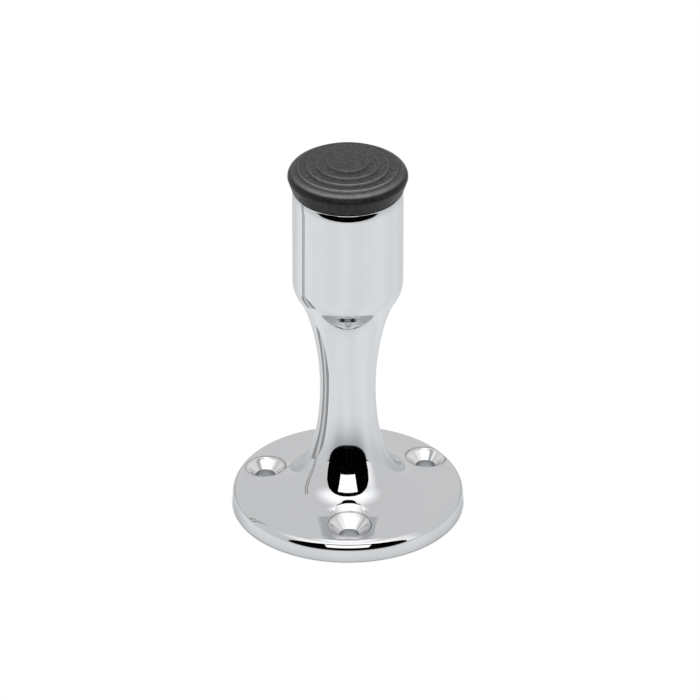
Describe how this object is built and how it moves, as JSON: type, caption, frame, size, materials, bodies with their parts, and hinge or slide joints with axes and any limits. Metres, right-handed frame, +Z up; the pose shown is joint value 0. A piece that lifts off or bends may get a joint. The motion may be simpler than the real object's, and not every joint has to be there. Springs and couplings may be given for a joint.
{
  "type": "pedestal door stop",
  "caption": "Chromed pedestal door stop: round screw-down flange, waisted column and cup with a ringed black rubber buffer.",
  "frame": {"origin": "centre of the flange's underside, on the column's axis, in the plane that rests on the floor or wall", "axes": "+Z up the column towards the rubber buffer; -Y towards the screw hole that faces the viewer; +X to the viewer's right"},
  "size_m": [0.06, 0.06, 0.1012],
  "materials": {
    "polished_chrome": "mirror-polished chrome plating on a casting",
    "black_rubber": "moulded black rubber, satin, with faint moulding marks"
  },
  "bodies": {
    "pedestal": {"pedestal_casting": "polished_chrome"},
    "buffer": {"rubber_buffer": "black_rubber"}
  },
  "joints": [
    {"name": "buffer_pull_out", "type": "slide", "parent": "pedestal", "child": "buffer", "axis": [0, 0, 1], "range_m": [0, 0.016]}
  ]
}
